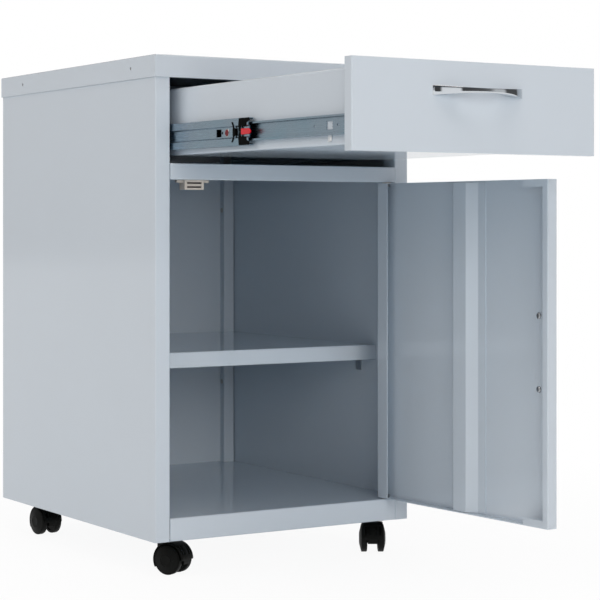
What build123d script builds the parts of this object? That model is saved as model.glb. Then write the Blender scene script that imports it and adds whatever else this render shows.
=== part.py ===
from build123d import *
import os
from math import cos, radians, sin

# Medical cabinet in folded steel sheet, in millimetres.
# The origin is on the floor under the middle of the casing, +Z up, front towards -Y.
# The drawer stands fully pulled out and the door stands open, as the cabinet is shown.

# Casing
body_width = 410.0
body_depth = 510.0
overall_height = 700.0
ground_clearance = 48.0
sheet = 1.2
bend = 1.8
strip_width = 22.0
strip_return = 28.0
post_width = 20.0
post_depth = 13.0
post_gap = 1.5
seam = 0.3

# Top cap
cap_lip = 30.0
cap_return = 12.0
cap_screw_front = 70.0
cap_screw_rear = 430.0
cap_screw_radius = 2.2
cap_screw_shank = 1.5
cap_screw_length = 8.0
cap_screw_sink = 0.3

# Back panel's screws
back_screw_heights = (212.0, 496.0)
back_screw_radius = 2.0
back_screw_head = 3.8
back_screw_head_height = 1.6

# Trays: bottom, divider and shelf
bottom_rail_height = 31.0
bottom_rail_return = 16.0
middle_rail_height = 22.0
middle_rail_return = 30.0
drawer_opening_height = 115.0
tray_flange = 18.0
shelf_top = 295.0
shelf_lip = 22.0
shelf_return = 10.0
shelf_setback = 80.0
shelf_clearance = 0.5
clip_inset = 124.0
clip_size = 14.0
clip_drop = 18.0

# Door, hung on two pivot pins
front_thickness = 16.0
reveal = 1.5
door_angle = 92.8
pivot_inset = 9.0
pivot_depth = 6.0
pin_radius = 3.0
pin_engagement = 7.0
pin_head = 4.4
pin_head_height = 3.0
running_clearance = 0.06
bush_wall = 1.05
bush_flange = 1.2
bush_flange_reach = 2.0
hinge_lip = 23.0
free_lip = 10.0
corner_tab_length = 40.0
corner_tab_height = 10.0
stiffener_crest = 27.0
stiffener_height = 12.0
stiffener_slope = 13.5
stiffener_flange = 15.0
door_handle_inset = 33.0

# Magnetic catch under the middle rail
catch_body = (30.0, 15.0, 13.0)
catch_ear_span = 50.0
catch_ear_height = 3.5
catch_inset = 46.0
catch_slot = (22.0, 2.4)

# Telescopic slides: their length and travel also set the drawer's tray
slide_length = 450.0
slide_overlap = 13.0
drawer_travel = slide_length - slide_overlap

# Drawer
drawer_reveal = 3.0
drawer_lip = 12.0
drawer_back_return = 10.0
tray_length = slide_length
tray_lift = 7.5
tray_height = 90.5
tray_hem = 8.0
tray_bend = 3.0
handle_raise = 19.0

# Slide sections
slide_width = 12.7
slide_height = 46.0
outer_lip = 9.5
outer_hook = 3.0
inner_lip = 6.7
inner_hook = 2.4
slide_lift = 31.7
slide_steel = 1.2
slide_gap = 3.0
middle_share = 0.52
middle_inset = 6.5
middle_length = slide_length - 30.0
middle_height = 34.8
middle_lip = 10.2
middle_band = 9.5
band_step = 1.5
middle_face = 2.2
middle_recess = 1.8
middle_window = (13.0, 10.0)
middle_window_at = 76.5
middle_dot_at = 67.5
inner_height = 24.0
inner_window = (13.0, 10.0)
inner_window_at = 44.0
inner_dots_at = (26.0, 77.0)
dot_radius = 1.8
bracket_height = 36.0
stop_depth = 1.4
stop_thickness = 0.8
stop_length = 28.5
stop_reach = 5.0
buffer_length = 22.0
latch_at = 34.0
cage_length = 150.0
cage_thickness = 0.9
outer_race = (5.3, 19.6)
inner_race = (6.9, 14.1)
outer_ball = 1.9
inner_ball = 1.8

# Bow handles
handle_pitch = 96.0
handle_length = 134.0
handle_rise = 26.0
handle_foot = 12.0
handle_waist = 5.6
handle_thickness = 4.0
handle_boss = 7.0
handle_screw_radius = 2.0
handle_screw_head = 4.2
handle_screw_head_height = 2.2

# Castors
castor_inset_side = 33.5
castor_inset_front = 43.0
castor_inset_rear = 65.0
castor_trail = 17.0
wheel_radius = 20.0
castor_width = 38.0
wheel_gap = 15.6
wheel_dome = 2.9
wheel_hub = 8.5
wheel_cover = 1.2
stem_radius = 4.0
stem_collar_radius = 6.5
stem_collar = 2.0
stem_bottom = 26.0
stem_end = 3.0
nut_radius = 7.5
nut_height = 6.0
axle_radius = 2.5
hood_play = 0.4
fender_gap = 1.2
fender_wall = 2.3
fender_half = 15.0
fender_drop = 28.0
nose_reach = 1.8
web_clearance = 0.6
web_bottom = 13.5
castor_rail_width = 38.0
castor_angles = {"front_left": 29.0, "front_right": -31.0, "rear_left": 7.0, "rear_right": 24.0}

# Small and repeated round pieces are drawn with flat sides, which keeps their faces few
wheel_sides = 36
head_sides = 12
shank_sides = 6

# Derived planes and faces
left_x = -body_width / 2
front_y = -body_depth / 2
back_y = body_depth / 2
inner_half = body_width / 2 - sheet
opening_half = body_width / 2 - strip_width
body_top = overall_height - sheet
panel_height = body_top - ground_clearance
floor_top = ground_clearance + bottom_rail_height
rail_top = overall_height - cap_lip - drawer_opening_height
rail_bottom = rail_top - middle_rail_height
post_front = back_y - post_depth
post_half = body_width / 2 - post_width


def folded(plane, corners, side=Side.RIGHT, thickness=sheet, radius=bend):
    """Section of a bent sheet: its outer face runs through the corners."""
    with BuildSketch(plane) as section:
        with BuildLine():
            FilletPolyline(*corners, radius=radius)
            offset(amount=thickness, side=side)
        make_face()
    return section.sketch


def creased(plane, corners, side=Side.RIGHT, thickness=sheet):
    """Section of a narrow strip with tight folds, drawn square."""
    with BuildSketch(plane) as section:
        with BuildLine():
            Polyline(*corners)
            offset(amount=thickness, side=side, kind=Kind.INTERSECTION)
        make_face()
    return section.sketch


def socket(radius, mode=Mode.ADD):
    """Flat-sided hole, into which a round piece of this radius fits with running clearance."""
    return RegularPolygon(radius + running_clearance, head_sides, major_radius=False, mode=mode)


def finish(name, part):
    """Label one piece and write it."""
    part.label = name
    export_step(part, f"parts/{name}.step")


os.makedirs("parts", exist_ok=True)

# Side panels: one sheet each, folded into the front strip and the hollow rear corner post
cap_screw_height = overall_height - cap_lip / 2
cap_screw_ys = (front_y + cap_screw_front, front_y + cap_screw_rear)
with BuildPart() as side_panel_left:
    side_corners = [
        (left_x + strip_width, front_y + strip_return),
        (left_x + strip_width, front_y),
        (left_x, front_y),
        (left_x, back_y),
        (left_x + post_width, back_y),
        (left_x + post_width, post_front),
        (left_x + sheet + post_gap, post_front),
    ]
    extrude(folded(Plane.XY.offset(ground_clearance), side_corners), amount=panel_height)
    with BuildSketch(Plane.YZ.offset(left_x)):
        with Locations(*[(y, cap_screw_height) for y in cap_screw_ys]):
            RegularPolygon(cap_screw_shank + seam / 2, shank_sides)
    extrude(amount=sheet, mode=Mode.SUBTRACT)
with BuildPart() as side_panel_right:
    mirror(side_panel_left.part, about=Plane.YZ)
finish("side_panel_left", side_panel_left.part)
finish("side_panel_right", side_panel_right.part)

# Top cap: a shallow lid over the casing, with a stiffening return behind the front lip
cap_width = body_width + 2 * (seam + sheet)
cap_depth = body_depth + 2 * (seam + sheet)
with BuildPart() as top_cap:
    with BuildSketch(Plane.XY.offset(overall_height - cap_lip)):
        Rectangle(cap_width, cap_depth)
    extrude(amount=cap_lip)
    fillet(top_cap.faces().sort_by(Axis.Z)[-1].edges(), radius=bend)
    with BuildSketch(Plane.XY.offset(overall_height - cap_lip)):
        Rectangle(cap_width - 2 * sheet, cap_depth - 2 * sheet)
    extrude(amount=cap_lip - sheet, mode=Mode.SUBTRACT)
    with BuildSketch(Plane.XY.offset(overall_height - cap_lip)):
        with Locations((0, -cap_depth / 2 + sheet / 2)):
            Rectangle(2 * (opening_half - seam), cap_return, align=(Align.CENTER, Align.MIN))
    extrude(amount=sheet)
    with BuildSketch(Plane.YZ.offset(-cap_width / 2)):
        with Locations(*[(y, cap_screw_height) for y in cap_screw_ys]):
            RegularPolygon(cap_screw_radius + seam / 2, head_sides)
    extrude(amount=cap_width, mode=Mode.SUBTRACT)
finish("top_cap", top_cap.part)

# Cap screws: heads sunk in the lip, shanks through the side panels
with BuildPart() as cap_screws:
    with BuildSketch(Plane.YZ.offset(left_x)):
        with Locations(*[(y, cap_screw_height) for y in cap_screw_ys]):
            RegularPolygon(cap_screw_radius, head_sides)
    extrude(amount=cap_screw_sink - seam - sheet)
    with BuildSketch(Plane.YZ.offset(left_x)):
        with Locations(*[(y, cap_screw_height) for y in cap_screw_ys]):
            RegularPolygon(cap_screw_shank, shank_sides)
    extrude(amount=cap_screw_length)
    mirror(about=Plane.YZ)
finish("cap_screws", cap_screws.part)

# Back panel: a pan between the corner posts, with two screws a side through its flanges
back_screw_y = back_y - post_depth / 2
with BuildPart() as back_panel:
    back_corners = [
        (-post_half, post_front),
        (-post_half, back_y),
        (post_half, back_y),
        (post_half, post_front),
    ]
    extrude(folded(Plane.XY.offset(ground_clearance), back_corners), amount=panel_height)
    with BuildSketch(Plane.YZ.offset(-post_half)):
        with Locations(*[(back_screw_y, z) for z in back_screw_heights]):
            RegularPolygon(back_screw_radius + seam / 2, shank_sides)
    extrude(amount=2 * post_half, mode=Mode.SUBTRACT)
finish("back_panel", back_panel.part)

with BuildPart() as back_screws:
    with BuildSketch(Plane.YZ.offset(-post_half + sheet)):
        with Locations(*[(back_screw_y, z) for z in back_screw_heights]):
            RegularPolygon(back_screw_head, head_sides)
    extrude(amount=back_screw_head_height, taper=15)
    with BuildSketch(Plane.YZ.offset(-post_half)):
        with Locations(*[(back_screw_y, z) for z in back_screw_heights]):
            RegularPolygon(back_screw_radius, shank_sides)
    extrude(amount=sheet)
    mirror(about=Plane.YZ)
finish("back_screws", back_screws.part)

# Pivot line of the door, shared by the pins, the bushes and their holes
pivot_x = opening_half - reveal - pivot_inset
pivot_y = front_y + pivot_depth
bush_bore = pin_radius + running_clearance
bush_radius = bush_bore + bush_wall


def casing_tray(top, lip, lip_return):
    """Tray folded between the side panels: plate, front lip with return, side and rear flanges."""
    plate_front = front_y + strip_return
    front_half = opening_half - seam
    with BuildPart() as tray:
        with BuildSketch(Plane.XY.offset(top - sheet)):
            with Locations((0, plate_front + seam)):
                plate_depth = post_front - plate_front - 2 * seam
                Rectangle(2 * inner_half, plate_depth, align=(Align.CENTER, Align.MIN))
            with Locations((0, front_y + bend)):
                Rectangle(2 * front_half, strip_return, align=(Align.CENTER, Align.MIN))
            with Locations((0, back_y - sheet)):
                Rectangle(2 * (post_half - bend), post_depth, align=(Align.CENTER, Align.MAX))
        extrude(amount=sheet)
        lip_corners = [
            (front_y + lip_return, top - lip),
            (front_y, top - lip),
            (front_y, top),
            (plate_front, top),
        ]
        extrude(folded(Plane.YZ.offset(-front_half), lip_corners), amount=2 * front_half)
        with BuildSketch(Plane.XY.offset(top - tray_flange)):
            with Locations((-inner_half + sheet / 2, 0), (inner_half - sheet / 2, 0)):
                Rectangle(sheet, post_front - plate_front - 2 * bend)
            with Locations((0, back_y - sheet)):
                Rectangle(2 * (post_half - bend), sheet, align=(Align.CENTER, Align.MAX))
        extrude(amount=tray_flange)
    return tray.part


# Bottom panel, with the lower pivot hole in its plate
with BuildPart() as bottom_panel:
    add(casing_tray(floor_top, bottom_rail_height, bottom_rail_return))
    with BuildSketch(Plane.XY.offset(floor_top - sheet)):
        with Locations((pivot_x, pivot_y)):
            RegularPolygon(bush_radius, head_sides)
    extrude(amount=sheet, mode=Mode.SUBTRACT)
finish("bottom_panel", bottom_panel.part)

# Divider under the drawer, whose front lip is the middle rail
with BuildPart() as divider_panel:
    add(casing_tray(rail_top, middle_rail_height, middle_rail_return))
    with BuildSketch(Plane.XY.offset(rail_bottom)):
        with Locations((pivot_x, pivot_y)):
            RegularPolygon(bush_radius, head_sides)
    extrude(amount=sheet, mode=Mode.SUBTRACT)
finish("divider_panel", divider_panel.part)

# Flanged nylon bushes for the door's pivot pins
with BuildPart() as pivot_bushes:
    for face_z, away in ((floor_top, 1), (rail_bottom, -1)):
        with BuildSketch(Plane.XY.offset(face_z)):
            with Locations((pivot_x, pivot_y)):
                RegularPolygon(bush_radius + bush_flange_reach, head_sides)
                Circle(bush_bore, mode=Mode.SUBTRACT)
        extrude(amount=away * bush_flange)
        with BuildSketch(Plane.XY.offset(face_z)):
            with Locations((pivot_x, pivot_y)):
                RegularPolygon(bush_radius, head_sides)
                Circle(bush_bore, mode=Mode.SUBTRACT)
        extrude(amount=-away * (pin_engagement - reveal))
finish("pivot_bushes", pivot_bushes.part)

# Shelf, resting on four clips
shelf_front = front_y + shelf_setback
shelf_back = post_front - shelf_clearance
shelf_half = inner_half - shelf_clearance
with BuildPart() as shelf:
    shelf_corners = [
        (shelf_front + shelf_return, shelf_top - shelf_lip),
        (shelf_front, shelf_top - shelf_lip),
        (shelf_front, shelf_top),
        (shelf_back, shelf_top),
        (shelf_back, shelf_top - shelf_lip),
    ]
    extrude(folded(Plane.YZ.offset(-shelf_half), shelf_corners), amount=2 * shelf_half)
    with BuildSketch(Plane.XY.offset(shelf_top - shelf_lip)):
        with Locations(*[(s * (shelf_half - sheet / 2), (shelf_front + shelf_back) / 2) for s in (-1, 1)]):
            Rectangle(sheet, shelf_back - shelf_front - 2 * bend)
    extrude(amount=shelf_lip - sheet)
finish("shelf", shelf.part)

with BuildPart() as shelf_clips:
    shelf_bottom = shelf_top - shelf_lip
    clip_corners = [
        (-inner_half, shelf_bottom - clip_drop),
        (-inner_half, shelf_bottom),
        (-inner_half + clip_size, shelf_bottom),
    ]
    for clip_y in (front_y + clip_inset, post_front - clip_inset):
        clip_plane = Plane.XZ.offset(-(clip_y + clip_size / 2))
        extrude(creased(clip_plane, clip_corners), amount=clip_size)
    mirror(about=Plane.YZ)
finish("shelf_clips", shelf_clips.part)

# Magnetic catch under the middle rail's return, with two steel pole plates
catch_width, catch_depth, catch_height = catch_body
catch_x = -opening_half + catch_inset
catch_front = front_y + front_thickness + seam
with BuildPart() as magnetic_catch:
    with BuildSketch(Plane.XY.offset(rail_bottom - catch_height)):
        with Locations((catch_x, catch_front)):
            Rectangle(catch_width, catch_depth, align=(Align.CENTER, Align.MIN))
    extrude(amount=catch_height)
    with BuildSketch(Plane.XY.offset(rail_bottom - catch_ear_height)):
        with Locations((catch_x, catch_front + catch_depth * 0.6)):
            Trapezoid(catch_ear_span, catch_depth * 0.65, 75)
    extrude(amount=catch_ear_height)
    slot_width, slot_height = catch_slot
    slot_heights = (rail_bottom - catch_height * 0.3, rail_bottom - catch_height * 0.72)
    with BuildSketch(Plane.XZ.offset(-catch_front)):
        with Locations(*[(catch_x, z) for z in slot_heights]):
            Rectangle(slot_width, slot_height)
    extrude(amount=-catch_depth * 0.8, mode=Mode.SUBTRACT)
finish("magnetic_catch", magnetic_catch.part)

with BuildPart() as catch_poles:
    with BuildSketch(Plane.XZ.offset(-(catch_front + catch_depth * 0.8))):
        with Locations(*[(catch_x, z) for z in slot_heights]):
            Rectangle(slot_width - seam, slot_height - seam)
    extrude(amount=catch_depth * 0.72)
finish("catch_poles", catch_poles.part)

# Castor rails: channels across the casing under the bottom panel
castor_x = body_width / 2 - castor_inset_side
castor_ys = {"front": front_y + castor_inset_front, "rear": back_y - castor_inset_rear}
rail_starts = {"front": front_y + strip_return + seam, "rear": castor_ys["rear"] - castor_rail_width / 2}
rail_half = inner_half - sheet - seam
for end, rail_start in rail_starts.items():
    with BuildPart() as castor_rail:
        channel = [
            (rail_start, floor_top - sheet),
            (rail_start, ground_clearance),
            (rail_start + castor_rail_width, ground_clearance),
            (rail_start + castor_rail_width, floor_top - sheet),
        ]
        extrude(creased(Plane.YZ.offset(-rail_half), channel, side=Side.LEFT), amount=2 * rail_half)
        with BuildSketch(Plane.XY.offset(ground_clearance)):
            with Locations((-castor_x, castor_ys[end]), (castor_x, castor_ys[end])):
                socket(stem_radius)
        extrude(amount=sheet, mode=Mode.SUBTRACT)
    finish(f"castor_rail_{end}", castor_rail.part)

# Castors: fixed stems and nuts, swivelling hoods, and wheel pairs on their axles
castor_places = [(side * castor_x, y) for side in (-1, 1) for y in castor_ys.values()]
hood_top = ground_clearance - stem_collar - hood_play
with BuildPart() as castor_stems:
    with BuildSketch(Plane.XY.offset(stem_bottom)):
        with Locations(*castor_places):
            Circle(stem_radius)
    extrude(amount=ground_clearance - stem_bottom)
    with BuildSketch(Plane.XY.offset(ground_clearance - stem_collar)):
        with Locations(*castor_places):
            RegularPolygon(stem_collar_radius, head_sides)
    extrude(amount=stem_collar)
    with BuildSketch(Plane.XY.offset(ground_clearance)):
        with Locations(*castor_places):
            RegularPolygon(stem_radius, head_sides)
    extrude(amount=sheet + nut_height + stem_end)
finish("castor_stems", castor_stems.part)

with BuildPart() as castor_nuts:
    with BuildSketch(Plane.XY.offset(ground_clearance + sheet)):
        with Locations(*castor_places):
            RegularPolygon(nut_radius, 6)
            socket(stem_radius, mode=Mode.SUBTRACT)
    extrude(amount=nut_height)
finish("castor_nuts", castor_nuts.part)

fender_inner = wheel_radius + fender_gap
fender_outer = fender_inner + fender_wall
web_half = wheel_gap / 2 - web_clearance
axle_half = castor_width / 2 - wheel_cover
far = 3 * fender_outer
rear_lip = radians(fender_drop)
for corner, angle in castor_angles.items():
    end, hand = corner.split("_")
    turn = radians(angle)
    axle_direction = (cos(turn), sin(turn), 0)
    stem_x = castor_x if hand == "right" else -castor_x
    stem_y = castor_ys[end]
    wheel_x = stem_x + castor_trail * sin(turn)
    wheel_y = stem_y - castor_trail * cos(turn)
    wheel_centre = (wheel_x, wheel_y, wheel_radius)
    side_plane = Plane(wheel_centre, x_dir=(-sin(turn), cos(turn), 0), z_dir=axle_direction)
    stem_plane = Plane((stem_x, stem_y, 0), x_dir=axle_direction, z_dir=(0, 0, 1))

    # The hood's fender runs over both wheels, from a low lip behind the stem to a nose at axle height
    with BuildPart() as castor_hood:
        with BuildSketch(side_plane):
            RegularPolygon(fender_outer, wheel_sides)
            RegularPolygon(fender_inner, wheel_sides, mode=Mode.SUBTRACT)
            with BuildLine():
                rear_point = (far * cos(rear_lip), -far * sin(rear_lip))
                Polyline((0, 0), rear_point, (far, -far), (-far, -far), (-far, 0), close=True)
            make_face(mode=Mode.SUBTRACT)
            with BuildLine():
                Polyline((-fender_inner, 0), (-fender_outer - nose_reach, 0), (-fender_outer, 2 * nose_reach),
                         (-fender_inner, 2 * nose_reach), close=True)
            make_face()
        extrude(amount=fender_half, both=True)
        with BuildSketch(side_plane):
            RegularPolygon(fender_inner + fender_wall / 2, wheel_sides)
            with Locations((0, web_bottom - wheel_radius)):
                Rectangle(2 * far, far, align=(Align.CENTER, Align.MAX), mode=Mode.SUBTRACT)
        extrude(amount=web_half, both=True)
        with BuildSketch(stem_plane.offset(web_bottom)):
            Rectangle(2 * web_half, 2 * web_half)
        extrude(amount=hood_top - web_bottom)
        with BuildSketch(side_plane):
            socket(axle_radius)
        extrude(amount=web_half, both=True, mode=Mode.SUBTRACT)
        with BuildSketch(stem_plane.offset(stem_bottom - hood_play)):
            socket(stem_radius)
        extrude(amount=hood_top, mode=Mode.SUBTRACT)
    finish(f"castor_hood_{corner}", castor_hood.part)

    # Two domed wheels, closed outside and with blind bores for the axle
    with BuildPart() as castor_wheels:
        with BuildSketch(side_plane.offset(wheel_gap / 2)):
            RegularPolygon(wheel_radius, wheel_sides)
        extrude(amount=(castor_width - wheel_gap) / 2)
        outer_face = castor_wheels.faces().sort_by(Axis(side_plane.origin, axle_direction))[-1]
        chamfer(outer_face.edges(), length=wheel_radius - wheel_hub, length2=wheel_dome, reference=outer_face)
        with BuildSketch(side_plane):
            socket(axle_radius)
        extrude(amount=axle_half + running_clearance, mode=Mode.SUBTRACT)
        mirror(about=Plane(side_plane.origin, z_dir=axle_direction))
    finish(f"castor_wheels_{corner}", castor_wheels.part)

    with BuildPart() as castor_axle:
        with BuildSketch(side_plane):
            Circle(axle_radius)
        extrude(amount=axle_half, both=True)
    finish(f"castor_axle_{corner}", castor_axle.part)

# Telescopic slides, one each side of the drawer
slide_z = rail_top + drawer_reveal + slide_lift
slide_face = opening_half
member_front = front_y + front_thickness + slide_gap
middle_front = member_front + middle_inset - middle_share * drawer_travel
inner_front = front_y - drawer_travel + front_thickness + 2


def slide_section(y, points, side, hand):
    """Rolled steel section across the slide, from its outer path in (depth, height)."""
    plane = Plane((0, y, slide_z), x_dir=(1, 0, 0), z_dir=(0, 1, 0))
    corners = [(hand * (slide_face - depth), -height) for depth, height in points]
    return creased(plane, corners, side=side, thickness=slide_steel)


def slide_place(hand, y, depth, height=0.0):
    """Point of a slide in the cabinet frame."""
    return (hand * (slide_face - depth), y, slide_z + height)


for name, hand in (("left", -1), ("right", 1)):
    turning = Side.RIGHT if hand < 0 else Side.LEFT
    with BuildPart() as slide_bracket:
        bracket_half = bracket_height / 2
        bracket_plane = Plane((0, front_y + strip_return + seam, slide_z), x_dir=(1, 0, 0), z_dir=(0, 1, 0))
        bracket_corners = [
            (hand * inner_half, bracket_half),
            (hand * slide_face, bracket_half),
            (hand * slide_face, -bracket_half),
            (hand * inner_half, -bracket_half),
        ]
        extrude(creased(bracket_plane, bracket_corners, side=turning),
                amount=post_front - front_y - strip_return - 2 * seam)
    finish(f"slide_bracket_{name}", slide_bracket.part)

    with BuildPart() as cabinet_member:
        half = slide_height / 2
        path = [
            (outer_lip, half - outer_hook),
            (outer_lip, half),
            (0, half),
            (0, -half),
            (outer_lip, -half),
            (outer_lip, -half + outer_hook),
        ]
        extrude(slide_section(member_front, path, turning, hand), amount=slide_length)
    finish(f"slide_cabinet_member_{name}", cabinet_member.part)

    with BuildPart() as middle_member:
        half = middle_height / 2
        band = half - middle_band
        web = middle_face + middle_recess
        path = [
            (middle_lip, half - inner_hook),
            (middle_lip, half),
            (middle_face, half),
            (middle_face, band),
            (web, band - band_step),
            (web, -band + band_step),
            (middle_face, -band),
            (middle_face, -half),
            (middle_lip, -half),
            (middle_lip, -half + inner_hook),
        ]
        extrude(slide_section(middle_front, path, turning, hand), amount=middle_length)
        web_plane = Plane(slide_place(hand, middle_front, web), x_dir=(0, 1, 0), z_dir=(1, 0, 0))
        with BuildSketch(web_plane):
            with Locations((middle_window_at, 0)):
                Rectangle(*middle_window)
            with Locations((middle_dot_at, 0)):
                RegularPolygon(dot_radius, head_sides)
        extrude(amount=3 * slide_steel, both=True, mode=Mode.SUBTRACT)
    finish(f"slide_middle_member_{name}", middle_member.part)

    with BuildPart() as drawer_member:
        half = inner_height / 2
        inner_edge = slide_width - inner_lip
        path = [
            (inner_edge, -half + inner_hook),
            (inner_edge, -half),
            (slide_width, -half),
            (slide_width, half),
            (inner_edge, half),
            (inner_edge, half - inner_hook),
        ]
        extrude(slide_section(inner_front, path, turning, hand), amount=slide_length)
        web_plane = Plane(slide_place(hand, inner_front, slide_width), x_dir=(0, 1, 0), z_dir=(1, 0, 0))
        with BuildSketch(web_plane):
            with Locations((inner_window_at, 0)):
                Rectangle(*inner_window)
            with Locations(*[(place, 0) for place in inner_dots_at]):
                RegularPolygon(dot_radius, head_sides)
        extrude(amount=2 * slide_steel, both=True, mode=Mode.SUBTRACT)
    finish(f"slide_drawer_member_{name}", drawer_member.part)

    # Black stop at the middle member's front end: a clip open to the front, which holds the buffer
    stop_plane = Plane(slide_place(hand, middle_front, stop_depth), x_dir=(0, 1, 0), z_dir=(-hand, 0, 0))
    stop_back = stop_length - stop_reach
    with BuildPart() as slide_stop:
        half = middle_height / 2 - seam
        with BuildSketch(stop_plane):
            with BuildLine():
                Polyline(
                    (stop_back - 1.5, half), (2 - stop_reach, half), (-stop_reach, half - 4),
                    (4, half - 6), (5, 6.5), (stop_back - 6.5, 6), (stop_back - 6.5, -6), (5, -6.5),
                    (4, 6 - half), (-stop_reach, 4 - half), (2 - stop_reach, -half),
                    (stop_back - 1.5, -half), (stop_back, -8), (stop_back - 2.5, 0), (stop_back, 8),
                    close=True)
            make_face()
        extrude(amount=stop_thickness)
    finish(f"slide_stop_{name}", slide_stop.part)

    with BuildPart() as slide_buffer:
        with BuildSketch(stop_plane):
            with BuildLine():
                back = stop_back - 6.5
                nose = back - buffer_length
                Polyline(
                    (back, 4), (nose + 4, 3.6), (nose, 2), (nose, -2), (nose + 4, -3.6), (back, -4),
                    close=True)
            make_face()
        extrude(amount=middle_face + middle_recess - stop_depth)
    finish(f"slide_buffer_{name}", slide_buffer.part)

    # Release latch with its two curled arms, behind the stop
    with BuildPart() as slide_latch:
        with BuildSketch(stop_plane):
            with Locations((latch_at, 0)):
                Rectangle(7, 9)
        extrude(amount=middle_face + middle_recess - stop_depth)
        with BuildSketch(stop_plane):
            with Locations((latch_at, 0)):
                Rectangle(7, 9)
            for up in (-1, 1):
                with BuildLine():
                    Polyline(
                        (latch_at - 3.0, up * 4), (latch_at, up * 6.3), (latch_at + 1.8, up * 9),
                        (latch_at + 5.0, up * 13), (latch_at + 6.6, up * 12.6), (latch_at + 4.0, up * 8.6),
                        (latch_at + 2.6, up * 4), close=True)
                make_face()
        extrude(amount=stop_thickness)
    finish(f"slide_latch_{name}", slide_latch.part)

    # Ball cages: a strip for each raceway of the two stages, with the steel balls at its ends as short drums
    for stage, ball, (ball_depth, ball_height), cage_y in (
        ("outer", outer_ball, outer_race, member_front + 20),
        ("inner", inner_ball, inner_race, middle_front + 40),
    ):
        with BuildPart() as ball_cage:
            for up in (-1, 1):
                cage_plane = Plane(
                    slide_place(hand, cage_y + cage_length / 2, ball_depth, up * ball_height),
                    x_dir=(1, 0, 0), z_dir=(0, 0, 1))
                with BuildSketch(cage_plane):
                    Rectangle(ball * 1.5, cage_length)
                extrude(amount=cage_thickness / 2, both=True)
                with BuildSketch(cage_plane):
                    with GridLocations(1, cage_length - 4 * ball, 1, 2):
                        RegularPolygon(ball * 0.9, 8)
                extrude(amount=ball * 0.75, both=True)
        finish(f"slide_{stage}_balls_{name}", ball_cage.part)


def folded_front(plane, left, right, face, back, height, lips):
    """Pan of a door or a drawer front: skin, four flanges and a lip on both upright edges."""
    right_lip, left_lip = lips
    corners = [
        (right - right_lip, back),
        (right, back),
        (right, face),
        (left, face),
        (left, back),
        (left + left_lip, back),
    ]
    with BuildPart() as pan:
        extrude(folded(plane, corners), amount=height)
        for level in (0, height - sheet):
            with BuildSketch(plane.offset(level)):
                with Locations(((left + right) / 2, (face + back) / 2)):
                    Rectangle(right - left - 2 * bend, back - face)
            extrude(amount=sheet)
    return pan.part


def bow_handle(plane):
    """Chromed bow: length along the plane's x, rise along its y, strap width along its z."""
    half = handle_length / 2
    foot = handle_pitch / 2 - handle_boss
    with BuildPart() as bow:
        with BuildSketch(plane):
            with BuildLine():
                outer = ThreePointArc((-half, 0), (0, handle_rise), (half, 0))
                Line(outer @ 1, (foot, 0))
                ThreePointArc((foot, 0), (0, handle_rise - handle_thickness), (-foot, 0))
                Line((-foot, 0), outer @ 0)
            make_face()
        extrude(amount=handle_foot / 2, both=True)
        outline = Plane(plane.origin, x_dir=plane.x_dir, z_dir=plane.y_dir)
        with BuildSketch(outline):
            with BuildLine():
                top = ThreePointArc((-half, handle_foot / 2), (0, handle_waist / 2), (half, handle_foot / 2))
                Line(top @ 1, (half, -handle_foot / 2))
                low = ThreePointArc(
                    (half, -handle_foot / 2), (0, -handle_waist / 2), (-half, -handle_foot / 2))
                Line(low @ 1, top @ 0)
            make_face()
        extrude(amount=handle_rise + 1, mode=Mode.INTERSECT)
        with BuildSketch(outline):
            with Locations((-handle_pitch / 2, 0), (handle_pitch / 2, 0)):
                RegularPolygon(handle_screw_radius + seam / 2, shank_sides)
        extrude(amount=handle_boss, mode=Mode.SUBTRACT)
    return bow.part


def handle_screws(plane):
    """Two machine screws that hold a bow handle from behind the skin."""
    outline = Plane(plane.origin, x_dir=plane.x_dir, z_dir=plane.y_dir)
    with BuildPart() as screws:
        with BuildSketch(outline.offset(-sheet)):
            with Locations((-handle_pitch / 2, 0), (handle_pitch / 2, 0)):
                RegularPolygon(handle_screw_radius, shank_sides)
        extrude(amount=sheet + handle_boss - seam)
        with BuildSketch(outline.offset(-sheet)):
            with Locations((-handle_pitch / 2, 0), (handle_pitch / 2, 0)):
                RegularPolygon(handle_screw_head, head_sides)
        extrude(amount=-handle_screw_head_height, taper=12)
    return screws.part


# Drawer front, with its handle above the middle
drawer_face = front_y - drawer_travel
front_bottom = rail_top + drawer_reveal
front_height = drawer_opening_height - 2 * drawer_reveal
front_half = opening_half - reveal
drawer_handle_plane = Plane(
    (0, drawer_face, front_bottom + front_height / 2 + handle_raise), x_dir=(1, 0, 0), z_dir=(0, 0, -1))
with BuildPart() as drawer_front:
    front_plane = Plane.XY.offset(front_bottom)
    add(folded_front(front_plane, -front_half, front_half, drawer_face, drawer_face + front_thickness,
                     front_height, (drawer_lip, drawer_lip)))
    with BuildSketch(Plane(drawer_handle_plane.origin, x_dir=(1, 0, 0), z_dir=(0, -1, 0))):
        with Locations((-handle_pitch / 2, 0), (handle_pitch / 2, 0)):
            RegularPolygon(handle_screw_radius + seam / 2, shank_sides)
    extrude(amount=-sheet, mode=Mode.SUBTRACT)
finish("drawer_front", drawer_front.part)
finish("drawer_handle", bow_handle(drawer_handle_plane))
finish("drawer_handle_screws", handle_screws(drawer_handle_plane))

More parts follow.
